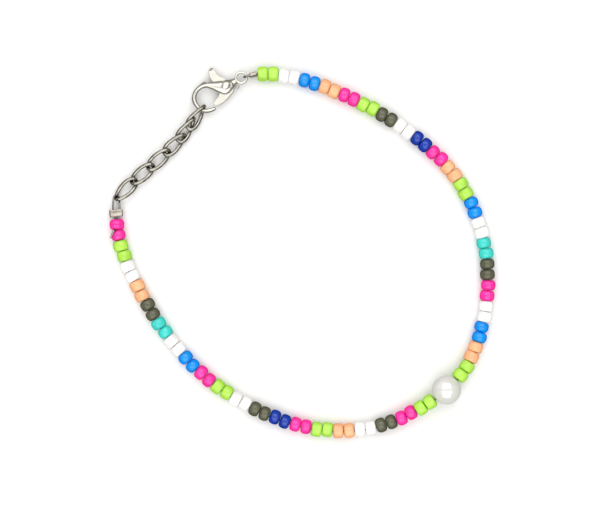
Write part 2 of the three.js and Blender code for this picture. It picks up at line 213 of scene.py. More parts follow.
def line_height(length):
    """How high the pieces' middle line is. It rises near the pearl, which is the thickest."""
    from_pearl = abs(length - pearl_at) / PEARL_LIFT
    if from_pearl < 1:
        return BEAD_HEIGHT + (PEARL_DIAMETER / 2 - BEAD_HEIGHT) * ease(1 - from_pearl)
    if length < right_start:
        return CLASP_HEIGHT + (BEAD_HEIGHT - CLASP_HEIGHT) * ease(length / right_start)
    if length < left_end:
        return BEAD_HEIGHT
    first_link = link_starts[0]
    if length < first_link:
        share = (length - left_end) / (first_link - left_end)
        return BEAD_HEIGHT + (CHAIN_HEIGHT - BEAD_HEIGHT) * ease(share)
    share = (length - first_link) / (chain_end - first_link)
    return CHAIN_HEIGHT + (CLASP_HEIGHT - CHAIN_HEIGHT) * ease(share)


def line_spot(length):
    """The spot on the scaled line, before it moves to the solids' origin."""
    spot = route_at(length % (route_lengths[-1] * route_scale) / route_scale) * route_scale
    return Vector((*spot, line_height(length)))


# The solids' origin is under the middle of their box: the pearl shows how far that is.
pearl_low, pearl_high = (Vector(corner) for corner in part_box("pearl_bead"))
origin_shift = (pearl_low + pearl_high) / 2 / MM - line_spot(pearl_at)


def along(length):
    """The spot on the pieces' middle line at a length from the eye, in millimetres."""
    return line_spot(length) + origin_shift


def basis(forward, side, top, spot):
    """A frame with three given directions as its axes."""
    place = Matrix((forward, side, top)).transposed().to_4x4()
    place.translation = spot
    return place


def frame_between(start_length, end_length, roll=0):
    """A frame between two lengths: x points along the line, z up, turned by roll degrees."""
    start = along(start_length)
    end = along(end_length)
    forward = (end - start).normalized()
    side = Vector((0, 0, 1)).cross(forward).normalized()
    place = basis(forward, side, forward.cross(side), (start + end) / 2)
    return place @ Matrix.Rotation(math.radians(roll), 4, "X")


# Seed beads
# Size 8 beads, cut from drawn glass cane and fire-polished, so each is a little different.
# Lime, white and peach ones came out square-shouldered, the others round.
BEAD_DIAMETER = 3.1
BEAD_LENGTH = 2.19
BEAD_HOLE = 0.95
BEAD_SIDES = 28
BEAD_PROFILE_STEPS = 14
BEAD_SHIFT = 0.09
BEAD_SHIFT_CYCLE = 2.4
BEAD_TILT = 4.0
BEAD_TILT_CYCLE = 1.7
BEAD_SIZE_SPREAD = 0.015
BEAD_SIZE_CYCLE = 3.1
MERGE_DISTANCE = 1e-4
HOLE_ROUND = 0.16
SHOULDERS = {
    "lime": 3.6,
    "white": 3.8,
    "peach": 3.4,
    "pink": 2.5,
    "blue": 2.3,
    "navy": 2.4,
    "teal": 2.6,
    "grey": 2.4,
}
GLASS_COLOURS = {
    "lime": (0.41, 0.73, 0.08),
    "white": (0.90, 0.885, 0.875),
    "peach": (0.88, 0.45, 0.23),
    "pink": (0.90, 0.03, 0.35),
    "blue": (0.0, 0.265, 0.80),
    "navy": (0.002, 0.034, 0.34),
    "teal": (0.05, 0.63, 0.56),
    "grey": (0.098, 0.100, 0.060),
}


def fired_glass_group():
    """Colour, roughness and height of fire-polished glass: a depth of colour that differs from
    bead to bead, fine clouds inside, and a slightly wavy skin."""
    group = bpy.data.node_groups.new("Fired glass", "ShaderNodeTree")
    face = group.interface
    colour_in = face.new_socket("Colour", in_out="INPUT", socket_type="NodeSocketColor")
    colour_in.default_value = (0.5, 0.5, 0.5, 1)
    depth_in = face.new_socket("Depth", in_out="INPUT", socket_type="NodeSocketFloat")
    depth_in.default_value = 0.12
    face.new_socket("Colour", in_out="OUTPUT", socket_type="NodeSocketColor")
    face.new_socket("Roughness", in_out="OUTPUT", socket_type="NodeSocketFloat")
    face.new_socket("Height", in_out="OUTPUT", socket_type="NodeSocketFloat")
    nodes, links = group.nodes, group.links
    given = nodes.new("NodeGroupInput")
    put = nodes.new("NodeGroupOutput")
    place = nodes.new("ShaderNodeTexCoord")
    bead = nodes.new("ShaderNodeTexNoise")
    bead.inputs["Scale"].default_value = 380
    bead.inputs["Detail"].default_value = 1
    clouds = nodes.new("ShaderNodeTexNoise")
    clouds.inputs["Scale"].default_value = 2600
    clouds.inputs["Detail"].default_value = 4
    skin = nodes.new("ShaderNodeTexNoise")
    skin.inputs["Scale"].default_value = 1100
    skin.inputs["Detail"].default_value = 2
    for texture in (bead, clouds, skin):
        links.new(place.outputs["Object"], texture.inputs["Vector"])
    both = nodes.new("ShaderNodeMath")
    both.operation = "MULTIPLY_ADD"
    both.inputs[1].default_value = 0.35
    links.new(clouds.outputs["Fac"], both.inputs[0])
    links.new(bead.outputs["Fac"], both.inputs[2])
    away = nodes.new("ShaderNodeMath")
    away.operation = "SUBTRACT"
    away.inputs[1].default_value = 0.675
    links.new(both.outputs[0], away.inputs[0])
    depth = nodes.new("ShaderNodeMath")
    depth.operation = "MULTIPLY_ADD"
    depth.inputs[2].default_value = 1.0
    links.new(away.outputs[0], depth.inputs[0])
    links.new(given.outputs["Depth"], depth.inputs[1])
    scale = nodes.new("ShaderNodeVectorMath")
    scale.operation = "SCALE"
    links.new(given.outputs["Colour"], scale.inputs[0])
    links.new(depth.outputs[0], scale.inputs["Scale"])
    rough = nodes.new("ShaderNodeMapRange")
    rough.inputs["To Min"].default_value = 0.06
    rough.inputs["To Max"].default_value = 0.2
    links.new(skin.outputs["Fac"], rough.inputs["Value"])
    links.new(scale.outputs["Vector"], put.inputs["Colour"])
    links.new(rough.outputs["Result"], put.inputs["Roughness"])
    links.new(skin.outputs["Fac"], put.inputs["Height"])
    return group


fired_glass = fired_glass_group()


def glass_material(name, colour):
    """Opaque glass with painted shade: its colour is darkened towards the edges, which turn away
    from view, where its polish also shows less.
    """
    material = bpy.data.materials.new("glass_" + name)
    material.use_nodes = True
    nodes, links = material.node_tree.nodes, material.node_tree.links
    shader = nodes["Principled BSDF"]
    shader.inputs["Specular IOR Level"].default_value = 0
    shader.inputs["Coat IOR"].default_value = 1.8
    shader.inputs["Coat Roughness"].default_value = 0.08
    shader.inputs["Subsurface Weight"].default_value = 0.12
    shader.inputs["Subsurface Radius"].default_value = (0.0008, 0.0006, 0.0005)
    shader.inputs["Subsurface Scale"].default_value = 1.0
    skin = nodes.new("ShaderNodeGroup")
    skin.node_tree = fired_glass
    skin.inputs["Colour"].default_value = (*colour, 1)
    skin.inputs["Depth"].default_value = 0.5
    facing = nodes.new("ShaderNodeLayerWeight")
    edge = nodes.new("ShaderNodeMapRange")
    edge.inputs["From Min"].default_value = 0.3
    edge.inputs["From Max"].default_value = 1.0
    # Painted shade: the colour is mixed towards a darker, deeper tone as the surface turns away
    # from view.
    edge_painted_shade = nodes.new("ShaderNodeMix")
    edge_painted_shade.data_type = "RGBA"
    edge_painted_shade.inputs["B"].default_value = (*(0.86 * part**1.5 for part in colour), 1)
    links.new(facing.outputs["Facing"], edge.inputs["Value"])
    links.new(edge.outputs["Result"], edge_painted_shade.inputs["Factor"])
    links.new(skin.outputs["Colour"], edge_painted_shade.inputs["A"])
    bump = nodes.new("ShaderNodeBump")
    bump.inputs["Strength"].default_value = 0.12
    bump.inputs["Distance"].default_value = 0.0001
    links.new(edge_painted_shade.outputs["Result"], shader.inputs["Base Color"])
    links.new(skin.outputs["Roughness"], shader.inputs["Roughness"])
    links.new(skin.outputs["Height"], bump.inputs["Height"])
    links.new(bump.outputs["Normal"], shader.inputs["Normal"])
    polish = nodes.new("ShaderNodeMapRange")
    polish.inputs["From Min"].default_value = 0.3
    polish.inputs["From Max"].default_value = 0.7
    polish.inputs["To Min"].default_value = 0.5
    polish.inputs["To Max"].default_value = 0.0
    links.new(facing.outputs["Facing"], polish.inputs["Value"])
    links.new(polish.outputs["Result"], shader.inputs["Coat Weight"])
    return material


glass = {name: glass_material(name, colour) for name, colour in GLASS_COLOURS.items()}


def spun(outline, axis, sides):
    """A closed outline spun a whole turn round an axis through the origin."""
    turned = bmesh.new()
    corners = [turned.verts.new(point) for point in outline]
    edges = [turned.edges.new(pair) for pair in zip(corners, corners[1:] + corners[:1])]
    bmesh.ops.spin(
        turned,
        geom=corners + edges,
        cent=(0, 0, 0),
        axis=axis,
        angle=2 * math.pi,
        steps=sides,
        use_merge=True,
    )
    bmesh.ops.remove_doubles(turned, verts=turned.verts, dist=MERGE_DISTANCE)
    bmesh.ops.recalc_face_normals(turned, faces=turned.faces)
    return turned


def bead_mesh(shoulder):
    """One drilled bead along x. A higher shoulder is squarer."""
    half = BEAD_LENGTH / 2
    hole = BEAD_HOLE / 2
    lip = hole + HOLE_ROUND
    outline = []
    for step in range(BEAD_PROFILE_STEPS + 1):
        angle = math.pi * (step / BEAD_PROFILE_STEPS - 0.5)
        reach = math.copysign(abs(math.sin(angle)) ** (2 / shoulder), angle) * half
        rise = abs(math.cos(angle)) ** (2 / shoulder)
        outline.append((reach, lip + (BEAD_DIAMETER / 2 - lip) * rise, 0))
    outline.append((half - HOLE_ROUND, hole, 0))
    outline.append((-half + HOLE_ROUND, hole, 0))
    bead = spun(outline, (1, 0, 0), BEAD_SIDES)
    mesh = bpy.data.meshes.new("bead")
    bead.to_mesh(mesh)
    bead.free()
    return mesh


def finished_piece(name, shape, material, body="anklet"):
    """A linked object of a bmesh made in millimetres, with its finish and its body."""
    mesh = bpy.data.meshes.new(name)
    shape.to_mesh(mesh)
    shape.free()
    mesh.transform(Matrix.Scale(MM, 4))
    mesh.materials.append(material)
    mesh.polygons.foreach_set("use_smooth", [True] * len(mesh.polygons))
    made = bpy.data.objects.new(name, mesh)
    bpy.context.collection.objects.link(made)
    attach(made, body)
    return made


bead_shapes = {colour: bead_mesh(shoulder) for colour, shoulder in SHOULDERS.items()}


def string_beads(side, pairs, start, pitch):
    """Threads a string's beads, one joined mesh for each colour."""
    strung = {}
    colours = [colour for colour in pairs for _ in range(2)]
    for index, colour in enumerate(colours):
        if colour not in strung:
            strung[colour] = bmesh.new()
        beads = strung[colour]
        before = len(beads.verts)
        beads.from_mesh(bead_shapes[colour])
        beads.verts.ensure_lookup_table()
        middle = start + (index + 0.5) * pitch
        place = frame_between(middle - BEAD_LENGTH / 2, middle + BEAD_LENGTH / 2)
        shift = Matrix.Translation((0, BEAD_SHIFT * math.sin(index * BEAD_SHIFT_CYCLE), 0))
        tilt_angle = math.radians(BEAD_TILT * math.sin(index * BEAD_TILT_CYCLE))
        tilt = Matrix.Rotation(tilt_angle, 4, "Z")
        turn = Matrix.Rotation(index, 4, "X")
        smaller = BEAD_SIZE_SPREAD * (1 - math.sin(index * BEAD_SIZE_CYCLE))
        size = Matrix.Scale(1 - smaller, 4)
        bmesh.ops.transform(
            beads, matrix=place @ shift @ tilt @ turn @ size, verts=beads.verts[before:]
        )
    for colour, beads in strung.items():
        piece = finished_piece(f"beads_{side}_{colour}", beads, glass[colour])
        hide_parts("bead_string_" + side)


string_beads("right", RIGHT_PAIRS, right_start, RIGHT_PITCH)
string_beads("left", LEFT_PAIRS, left_start, LEFT_PITCH)

# Pearl
# A drilled round bead with a pearl coat: layers of lacquer over glass, white with a faint
# rose and green sheen, and a small rim where the drill went through.
PEARL_HOLE = 1.0
PEARL_PROFILE_STEPS = 32
PEARL_SIDES = 48


def pearl_material():
    """A clouded, slightly rosy and green coat that mirrors most where it faces the eye."""
    material = bpy.data.materials.new("pearl_coat")
    material.use_nodes = True
    nodes, links = material.node_tree.nodes, material.node_tree.links
    shader = nodes["Principled BSDF"]
    shader.inputs["IOR"].default_value = 1.35
    shader.inputs["Coat IOR"].default_value = 2.4
    shader.inputs["Coat Roughness"].default_value = 0.02
    place = nodes.new("ShaderNodeTexCoord")
    cloud = nodes.new("ShaderNodeTexNoise")
    cloud.inputs["Scale"].default_value = 420
    cloud.inputs["Detail"].default_value = 3
    tint = nodes.new("ShaderNodeValToRGB")
    tint.color_ramp.elements[0].position = 0.35
    tint.color_ramp.elements[0].color = (0.69, 0.71, 0.66, 1)
    tint.color_ramp.elements[1].position = 0.65
    tint.color_ramp.elements[1].color = (0.75, 0.72, 0.70, 1)
    rough = nodes.new("ShaderNodeMapRange")
    rough.inputs["To Min"].default_value = 0.35
    rough.inputs["To Max"].default_value = 0.5
    links.new(place.outputs["Object"], cloud.inputs["Vector"])
    links.new(cloud.outputs["Fac"], tint.inputs["Fac"])
    links.new(cloud.outputs["Fac"], rough.inputs["Value"])
    facing = nodes.new("ShaderNodeLayerWeight")
    lustre = nodes.new("ShaderNodeMapRange")
    lustre.inputs["From Min"].default_value = 0.4
    lustre.inputs["From Max"].default_value = 0.9
    lustre.inputs["To Min"].default_value = 1.0
    lustre.inputs["To Max"].default_value = 0.2
    links.new(facing.outputs["Facing"], lustre.inputs["Value"])
    links.new(lustre.outputs["Result"], shader.inputs["Coat Weight"])
    links.new(tint.outputs["Color"], shader.inputs["Base Color"])
    links.new(rough.outputs["Result"], shader.inputs["Roughness"])
    return material


pearl_radius = PEARL_DIAMETER / 2
drill_angle = math.asin(PEARL_HOLE / PEARL_DIAMETER)
pearl_outline = []
for step in range(PEARL_PROFILE_STEPS + 1):
    angle = drill_angle + (math.pi - 2 * drill_angle) * step / PEARL_PROFILE_STEPS
    pearl_outline.append((-math.cos(angle) * pearl_radius, math.sin(angle) * pearl_radius, 0))
pearl = spun(pearl_outline, (1, 0, 0), PEARL_SIDES)
pearl_frame = frame_between(pearl_at - pearl_radius, pearl_at + pearl_radius)
pearl_frame.translation = along(pearl_at)
bmesh.ops.transform(pearl, matrix=pearl_frame, verts=pearl.verts)
pearl_piece = finished_piece("pearl", pearl, pearl_material())
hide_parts("pearl_bead")

# Beading wire
# Coated steel cable, one length for each string. From the pearl it goes through the beads and
# the crimp, round the eye or the link that it holds, and back through the crimp into the beads.
WIRE_STEP = 0.8
WIRE_SIDES = 14
WIRE_SMOOTHING = 5
STRAND_SPREAD = 0.266
SPREAD_IN_BEADS = 0.8
CRIMP_WIDTH = 2.8
CRIMP_THICKNESS = 0.95
CRIMP_WALL = 0.16
LOOP_SIDE_GAP = 0.12
EYE_INNER = 1.75
EYE_THICKNESS = 0.8
WIRE_END_GAP = 0.3
TAIL_LENGTH = 2.3
TAIL_SHARES = [(0, 0.17, 0.42), (-0.23, 0.4, 0.5), (-0.65, 0.65, 0.42)]
DOUBLED_BEADS = 3
LINK_TWIST = 45
LINK_ROLLS = [-8, 2, 12, 32, 48, 49]


def plated_metal_group():
    """Colour, roughness and height of plated metal: a darker tone in worn patches, and fine
    rubbing marks that roughen it."""
    group = bpy.data.node_groups.new("Plated metal", "ShaderNodeTree")
    face = group.interface
    face.new_socket("Colour", in_out="INPUT", socket_type="NodeSocketColor")
    face.new_socket("Worn colour", in_out="INPUT", socket_type="NodeSocketColor")
    face.new_socket("Smooth", in_out="INPUT", socket_type="NodeSocketFloat")
    face.new_socket("Rough", in_out="INPUT", socket_type="NodeSocketFloat")
    face.new_socket("Colour", in_out="OUTPUT", socket_type="NodeSocketColor")
    face.new_socket("Roughness", in_out="OUTPUT", socket_type="NodeSocketFloat")
    face.new_socket("Height", in_out="OUTPUT", socket_type="NodeSocketFloat")
    nodes, links = group.nodes, group.links
    given = nodes.new("NodeGroupInput")
    put = nodes.new("NodeGroupOutput")
    place = nodes.new("ShaderNodeTexCoord")
    cloud = nodes.new("ShaderNodeTexNoise")
    cloud.inputs["Scale"].default_value = 500
    cloud.inputs["Detail"].default_value = 4
    marks = nodes.new("ShaderNodeTexNoise")
    marks.inputs["Scale"].default_value = 2400
    marks.inputs["Detail"].default_value = 3
    stretch = nodes.new("ShaderNodeMapping")
    stretch.inputs["Scale"].default_value = (1, 0.25, 1)
    links.new(place.outputs["Object"], cloud.inputs["Vector"])
    links.new(place.outputs["Object"], stretch.inputs["Vector"])
    links.new(stretch.outputs["Vector"], marks.inputs["Vector"])
    worn = nodes.new("ShaderNodeMapRange")
    worn.inputs["From Min"].default_value = 0.4
    worn.inputs["From Max"].default_value = 0.7
    links.new(cloud.outputs["Fac"], worn.inputs["Value"])
    tone = nodes.new("ShaderNodeMix")
    tone.data_type = "RGBA"
    links.new(worn.outputs["Result"], tone.inputs["Factor"])
    links.new(given.outputs["Colour"], tone.inputs["A"])
    links.new(given.outputs["Worn colour"], tone.inputs["B"])
    rough = nodes.new("ShaderNodeMapRange")
    links.new(marks.outputs["Fac"], rough.inputs["Value"])
    links.new(given.outputs["Smooth"], rough.inputs["To Min"])
    links.new(given.outputs["Rough"], rough.inputs["To Max"])
    links.new(tone.outputs["Result"], put.inputs["Colour"])
    links.new(rough.outputs["Result"], put.inputs["Roughness"])
    links.new(marks.outputs["Fac"], put.inputs["Height"])
    return group


plated_metal = plated_metal_group()


def metal_material(name, colour, worn_colour, smooth, rough, bump_strength, darkest_painted_shade):
    """Plated metal with painted shade: ambient occlusion darkens its colour in its hollows, where
    parts cross and near the floor. The last value sets how dark that painted shade goes.
    """
    material = bpy.data.materials.new(name)
    material.use_nodes = True
    nodes, links = material.node_tree.nodes, material.node_tree.links
    shader = nodes["Principled BSDF"]
    shader.inputs["Metallic"].default_value = 1
    skin = nodes.new("ShaderNodeGroup")
    skin.node_tree = plated_metal
    skin.inputs["Colour"].default_value = (*colour, 1)
    skin.inputs["Worn colour"].default_value = (*worn_colour, 1)
    skin.inputs["Smooth"].default_value = smooth
    skin.inputs["Rough"].default_value = rough
    bump = nodes.new("ShaderNodeBump")
    bump.inputs["Strength"].default_value = bump_strength
    bump.inputs["Distance"].default_value = 0.00005
    # Painted shade: ambient occlusion darkens the base colour where other parts or the floor come
    # near.
    hollow = nodes.new("ShaderNodeAmbientOcclusion")
    hollow.inputs["Distance"].default_value = 0.0008
    shade = nodes.new("ShaderNodeMapRange")
    shade.inputs["From Min"].default_value = 0.35
    shade.inputs["From Max"].default_value = 0.9
    shade.inputs["To Min"].default_value = darkest_painted_shade
    dark = nodes.new("ShaderNodeVectorMath")
    dark.operation = "SCALE"
    links.new(hollow.outputs["AO"], shade.inputs["Value"])
    links.new(shade.outputs["Result"], dark.inputs["Scale"])
    links.new(skin.outputs["Colour"], dark.inputs[0])
    links.new(dark.outputs["Vector"], shader.inputs["Base Color"])
    links.new(skin.outputs["Roughness"], shader.inputs["Roughness"])
    links.new(skin.outputs["Height"], bump.inputs["Height"])
    links.new(bump.outputs["Normal"], shader.inputs["Normal"])
    return material


def loft(rings, closed=False):
    """One skin over rings of points. The ends are capped, unless the skin is a closed one."""
    skin = bmesh.new()
    loops = []
    for ring in rings:
        corners = [skin.verts.new(point) for point in ring]
        sides = zip(corners, corners[1:] + corners[:1])
        loops.append([skin.edges.new(pair) for pair in sides])
    neighbours = list(zip(loops, loops[1:] + loops[:1]))
    for loop, following in neighbours if closed else neighbours[:-1]:
        bmesh.ops.bridge_loops(skin, edges=loop + following)
    if not closed:
        bmesh.ops.edgeloop_fill(skin, edges=loops[0])
        bmesh.ops.edgeloop_fill(skin, edges=loops[-1])
    bmesh.ops.recalc_face_normals(skin, faces=skin.faces)
    return skin


def sweep(line, radius, sides):
    """A round wire along a line of points, without twisting."""
    rings = []
    across = None
    for index, spot in enumerate(line):
        ahead = line[min(index + 1, len(line) - 1)]
        behind = line[max(index - 1, 0)]
        forward = (ahead - behind).normalized()
        if across is None:
            across = forward.orthogonal()
        across = (across - forward * across.dot(forward)).normalized()
        over = forward.cross(across)
        turns = [2 * math.pi * step / sides for step in range(sides)]
        rings.append([spot + (across * math.cos(a) + over * math.sin(a)) * radius for a in turns])
    return loft(rings)


def crimp_frame(crimp_at, held_at):
    """A crimp's frame: its origin is the crimp's middle, and x points to what it holds."""
    place = frame_between(crimp_at, held_at)
    place.translation = along(crimp_at)
    return place


def strand(x, width, roll):
    """A spot on a strand, beside its middle line by a width, in a direction given by roll."""
    angle = math.radians(roll)
    return Vector((x, width * math.cos(angle), width * math.sin(angle)))


def wire_loop(place, reach, half_width, crimp_roll, loop_roll):
    """Both strands of a loop, from the crimp round what it holds and back to the crimp."""
    bend = reach - half_width
    spread = CRIMP_WIDTH / 2 - CRIMP_WALL - WIRE_DIAMETER / 2 - RUNNING_GAP
    diagonal = half_width * math.sqrt(0.5)
    half = [
        strand(-CRIMP_LENGTH / 2, STRAND_SPREAD, crimp_roll),
        strand(CRIMP_LENGTH / 3, min(half_width, spread), crimp_roll),
        strand(max(bend, CRIMP_LENGTH / 2), half_width, loop_roll),
        strand(bend + diagonal, diagonal, loop_roll),
    ]
    back = [Vector((spot.x, -spot.y, -spot.z)) for spot in reversed(half)]
    return [place @ spot for spot in half + [strand(reach, 0, loop_roll)] + back]


def in_beads(start, end, side, roll):
    """Points on the string from one length to another, beside its middle by a strand."""
    count = max(1, round(abs(end - start) / WIRE_STEP))
    spots = []
    for step in range(count + 1):
        length = start + (end - start) * step / count
        place = frame_between(length - BEAD_LENGTH / 2, length + BEAD_LENGTH / 2)
        place.translation = along(length)
        spots.append(place @ strand(0, side * STRAND_SPREAD * SPREAD_IN_BEADS, roll))
    return spots


eye_crimp_frame = crimp_frame(first_crimp, 0)
eye_loop = first_crimp - EYE_INNER / 2 + WIRE_DIAMETER / 2 + RUNNING_GAP
eye_loop_half = EYE_THICKNESS / 2 + LOOP_SIDE_GAP + WIRE_DIAMETER / 2
chain_crimp_frame = crimp_frame(last_crimp, link_starts[0])
chain_loop = loop_reach + loop_clear
chain_loop_half = LINK_WIRE / 2 + LOOP_SIDE_GAP + WIRE_DIAMETER / 2
chain_loop_roll = LINK_ROLLS[0] - LINK_TWIST + 90

right_line = (
    in_beads(pearl_at - WIRE_END_GAP / 2, right_start + RIGHT_PITCH / 2, 1, 90)
    + wire_loop(eye_crimp_frame, eye_loop, eye_loop_half, 90, 90)
    + in_beads(right_start + RIGHT_PITCH / 2, right_start + DOUBLED_BEADS * RIGHT_PITCH, -1, 90)
)
last_joint = left_end - LEFT_PITCH
tail_frame = frame_between(last_joint - BEAD_LENGTH / 2, last_joint + BEAD_LENGTH / 2)
tail_line = [
    tail_frame @ Vector((TAIL_LENGTH * x, TAIL_LENGTH * y, BEAD_DIAMETER * z))
    for x, y, z in TAIL_SHARES
]
left_line = (
    in_beads(pearl_at + WIRE_END_GAP / 2, left_end - LEFT_PITCH / 2, 1, 0)
    + wire_loop(chain_crimp_frame, chain_loop, chain_loop_half, 0, chain_loop_roll)
    + in_beads(left_end - LEFT_PITCH / 2, last_joint, -1, 0)
    + tail_line
)
wire_metal = metal_material(
    "coated_wire", (0.34, 0.325, 0.30), (0.24, 0.23, 0.21), 0.2, 0.35, 0.25, 0.35
)
for side, line in (("right", right_line), ("left", left_line)):
    wire_route = smooth_line(line, WIRE_SMOOTHING * len(line))
    wire = sweep(wire_route, WIRE_DIAMETER / 2, WIRE_SIDES)
    wire_piece = finished_piece("wire_" + side, wire, wire_metal)
    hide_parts("bead_string_" + side)

# Crimps
# Short soft metal tubes, squeezed flat round both strands of the wire. One is seen on its
# edge and one on its flat side, where the pliers left a shallow hollow.
CRIMP_SIDES = 48
CRIMP_SIDE_POWER = 0.75
CRIMP_FLAT_POWER = 0.55
CRIMP_HOLLOW = 0.08
CRIMP_RIM = 0.05
CHAIN_CRIMP_SKEW = 6

crimp_metal = metal_material(
    "crimp_metal", (0.48, 0.43, 0.375), (0.36, 0.32, 0.28), 0.2, 0.4, 0.35, 0.35
)


def crimp_ring(x, width, thickness, dent):
    """One ring of the squeezed tube: a flat oval, pressed in at the middle of its flats."""
    ring = []
    for step in range(CRIMP_SIDES):
        angle = 2 * math.pi * step / CRIMP_SIDES
        c, s = math.cos(angle), math.sin(angle)
        y = math.copysign(abs(c) ** CRIMP_SIDE_POWER, c) * width / 2
        z = math.copysign(abs(s) ** CRIMP_FLAT_POWER, s) * thickness / 2
        z -= math.copysign(dent * (1 - min(1, (2 * y / width) ** 2)), s)
        ring.append(Vector((x, y, z)))
    return ring


def squeezed_crimp(name, node, place):
    """A crimp lofted from its outer rings and back through its bore."""
    half = CRIMP_LENGTH / 2
    inner_width = CRIMP_WIDTH - 2 * CRIMP_WALL
    inner_thickness = CRIMP_THICKNESS - 2 * CRIMP_WALL
    rings = [
        crimp_ring(-half, CRIMP_WIDTH - CRIMP_RIM, CRIMP_THICKNESS - CRIMP_RIM, 0),
        crimp_ring(-half + CRIMP_RIM, CRIMP_WIDTH, CRIMP_THICKNESS, 0),
        crimp_ring(-half / 2, CRIMP_WIDTH, CRIMP_THICKNESS, CRIMP_HOLLOW),
        crimp_ring(half / 2, CRIMP_WIDTH, CRIMP_THICKNESS, CRIMP_HOLLOW),
        crimp_ring(half - CRIMP_RIM, CRIMP_WIDTH, CRIMP_THICKNESS, 0),
        crimp_ring(half, CRIMP_WIDTH - CRIMP_RIM, CRIMP_THICKNESS - CRIMP_RIM, 0),
        crimp_ring(half, inner_width, inner_thickness, 0),
        crimp_ring(-half, inner_width, inner_thickness, 0),
    ]
    tube = loft(rings, closed=True)
    bmesh.ops.transform(tube, matrix=place, verts=tube.verts)
    piece = finished_piece(name, tube, crimp_metal)
    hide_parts(node)


squeezed_crimp(
    "crimp_at_clasp", "crimp_clasp_end", eye_crimp_frame @ Matrix.Rotation(math.pi / 2, 4, "X")
)
squeezed_crimp(
    "crimp_at_chain",
    "crimp_chain_end",
    chain_crimp_frame @ Matrix.Rotation(math.radians(CHAIN_CRIMP_SKEW), 4, "Z"),
)

# Chain
# Six links of round wire, bent to ovals with a butt joint in the middle of one side, twisted a
# quarter turn so that they lie flat in each other, and plated. The plating stands a little proud
# of the solids' wire.
LINK_WIDTH = 3.16
LINK_SQUARENESS = 2.5
LINK_THICKNESS = 0.79
LINK_STEPS = 110
LINK_SIDES = 22
JOINT_DEPTH = 0.14
JOINT_ANGLE = 0.05
TANGENT_ANGLE = 0.02

# The chain gets the darkest painted shade in its hollows and crossings.
chain_metal = metal_material(
    "chain_metal", (0.41, 0.395, 0.345), (0.22, 0.21, 0.175), 0.06, 0.18, 0.25, 0.08
)


def link_middle(angle):
    """A point on the flat oval that a link's wire follows."""
    power = 2 / LINK_SQUARENESS
    c, s = math.cos(angle), math.sin(angle)
    half_wide = (LINK_WIDTH - LINK_THICKNESS) / 2
    x = math.copysign(abs(c) ** power, c) * link_reach / 2
    return Vector((x, math.copysign(abs(s) ** power, s) * half_wide, 0))


for number, (start, roll) in enumerate(zip(link_starts, LINK_ROLLS), start=1):
    rings = []
    for step in range(LINK_STEPS):
        angle = 2 * math.pi * (step + 0.5) / LINK_STEPS
        middle = link_middle(angle)
        ahead = link_middle(angle + TANGENT_ANGLE) - link_middle(angle - TANGENT_ANGLE)
        ahead.normalize()
        outwards = Vector((ahead.y, -ahead.x, 0))
        at_joint = max(0, 1 - abs(angle - 1.5 * math.pi) / JOINT_ANGLE)
        radius = LINK_THICKNESS / 2 * (1 - JOINT_DEPTH * at_joint)
        ring = []
        for side in range(LINK_SIDES):
            turn = 2 * math.pi * side / LINK_SIDES
            spot = middle + radius * (
                outwards * math.cos(turn) + Vector((0, 0, 1)) * math.sin(turn)
            )
            twist = math.radians(LINK_TWIST) * spot.x / (link_reach / 2)
            ring.append(Matrix.Rotation(twist, 4, "X") @ spot)
        rings.append(ring)
    link = loft(rings, closed=True)
    bmesh.ops.transform(
        link, matrix=frame_between(start, start + link_reach, roll), verts=link.verts
    )
    link_piece = finished_piece(f"link_{number}", link, chain_metal)
    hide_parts(f"chain_link_{number}")

# Clasp body
# A cast and plated lobster claw. From the neck at its eye it swells to a housing, slotted for
# the lever and with a domed cheek on each face, and runs out into the round hook.

# Each row is a point on the outer edge, one on the inner edge, and half the thickness there.
CLASP_EDGES = [
    (1.15, -0.66, 1.15, 0.34, 0.40),
    (1.60, -0.84, 1.62, 0.44, 0.60),
    (2.10, -1.12, 2.12, 0.62, 0.76),
    (2.36, -1.32, 2.38, 0.76, 1.02),
    (3.00, -1.82, 3.00, 0.96, 1.14),
    (3.80, -2.44, 3.85, 1.12, 1.16),
    (4.90, -3.18, 4.75, 0.92, 1.14),
    (5.91, -3.80, 5.42, 0.10, 1.08),
    (6.60, -4.00, 5.92, -0.95, 1.00),
    (7.10, -4.07, 6.36, -1.85, 0.90),
    (7.60, -4.09, 6.85, -2.60, 0.80),
    (8.25, -4.08, 7.60, -3.06, 0.70),
    (9.10, -3.94, 8.64, -3.16, 0.64),
    (10.05, -3.52, 9.48, -2.78, 0.62),
    (10.85, -2.80, 10.02, -2.26, 0.62),
    (11.22, -1.90, 10.32, -1.66, 0.62),
    (11.30, -1.10, 10.44, -1.02, 0.62),
    (11.18, -0.36, 10.40, -0.34, 0.62),
    (10.78, 0.78, 10.00, 0.46, 0.60),
    (9.90, 1.62, 9.42, 0.92, 0.56),
    (8.85, 2.02, 8.72, 1.22, 0.50),
    (8.10, 2.10, 8.00, 1.48, 0.42),
]
CLASP_STEPS = 150
CLASP_SIDES = 40
